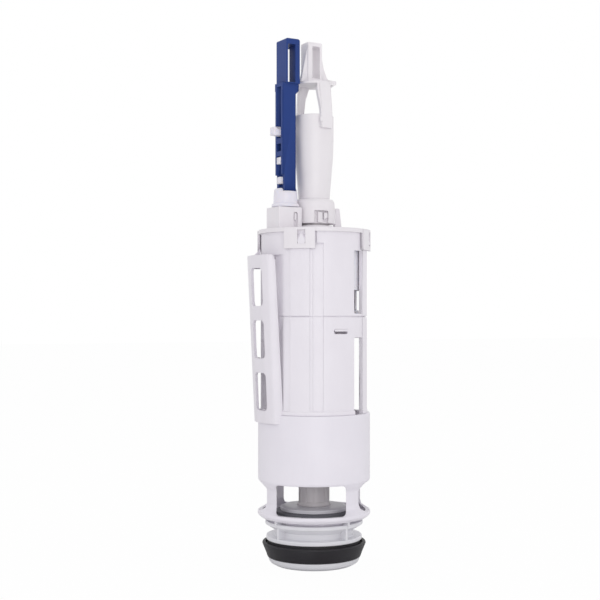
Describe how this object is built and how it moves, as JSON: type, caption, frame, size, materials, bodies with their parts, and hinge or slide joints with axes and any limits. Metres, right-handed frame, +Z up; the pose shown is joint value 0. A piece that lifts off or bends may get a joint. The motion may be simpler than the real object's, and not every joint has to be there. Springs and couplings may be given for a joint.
{
  "type": "toilet flush valve",
  "caption": "Dual flush drain valve for a cistern: barrel on an open cage and sealed spigot, overflow tube with lift-off seal, and two slotted pull heads.",
  "frame": {"origin": "centre of the spigot's bottom end, on the valve axis", "axes": "+Z up along the valve axis, -Y the side that the slots of the pull heads face, -X the side of the half flush rod and the guard"},
  "size_m": [0.0798, 0.073, 0.338],
  "materials": {
    "base_white": "satin moulded",
    "cage_white": "satin moulded",
    "barrel_white": "satin moulded",
    "guard_white": "satin moulded",
    "cap_white": "satin moulded",
    "funnel_white": "satin moulded",
    "head_white": "satin moulded",
    "inner_white": "satin moulded",
    "bar_blue": "satin moulded",
    "natural_plastic": "milky natural",
    "tube_grey": "smooth",
    "clamp_grey": "smooth",
    "seal_grey": "matt",
    "lip_black": "matt",
    "pin_white": "smooth"
  },
  "bodies": {
    "housing": {"outlet_base": "base_white", "outlet_seal": "lip_black", "cage_cup": "cage_white", "lower_barrel": "barrel_white", "upper_barrel": "barrel_white", "side_guard": "guard_white", "top_cap": "cap_white", "half_flush_guide": "cap_white", "latch_bracket": "inner_white", "latch_pin": "pin_white"},
    "full_flush": {"overflow_tube": "tube_grey", "seal_lock_nut": "clamp_grey", "main_seal": "seal_grey", "seal_clamp_disc": "clamp_grey", "main_float": "inner_white", "float_ring": "inner_white", "lift_collar": "inner_white", "funnel_lock_sleeve": "funnel_white", "overflow_funnel": "funnel_white", "full_flush_pull_head": "head_white"},
    "half_flush": {"half_flush_rod": "natural_plastic", "half_flush_pull_bar": "bar_blue", "lift_fork": "inner_white", "fork_pin": "pin_white"},
    "float": {"half_flush_float": "inner_white"},
    "latch": {"latch_lever": "inner_white"}
  },
  "joints": [
    {"name": "full_flush_lift", "type": "slide", "parent": "housing", "child": "full_flush", "axis": [0, 0, 1], "range_m": [0, 0.016]},
    {"name": "half_flush_lift", "type": "slide", "parent": "housing", "child": "half_flush", "axis": [0, 0, 1], "range_m": [0, 0.016]},
    {"name": "float_rise", "type": "slide", "parent": "housing", "child": "float", "axis": [0, 0, 1], "range_m": [0, 0.004]},
    {"name": "latch_swing", "type": "hinge", "parent": "housing", "child": "latch", "pos_m": [0.0195, 0, 0.16], "axis": [0, -1, 0], "range_deg": [0, 25]}
  ],
  "couplings": [
    {"joint": "latch_swing", "follows": "float_rise", "rad_per_m": 108.65}
  ]
}
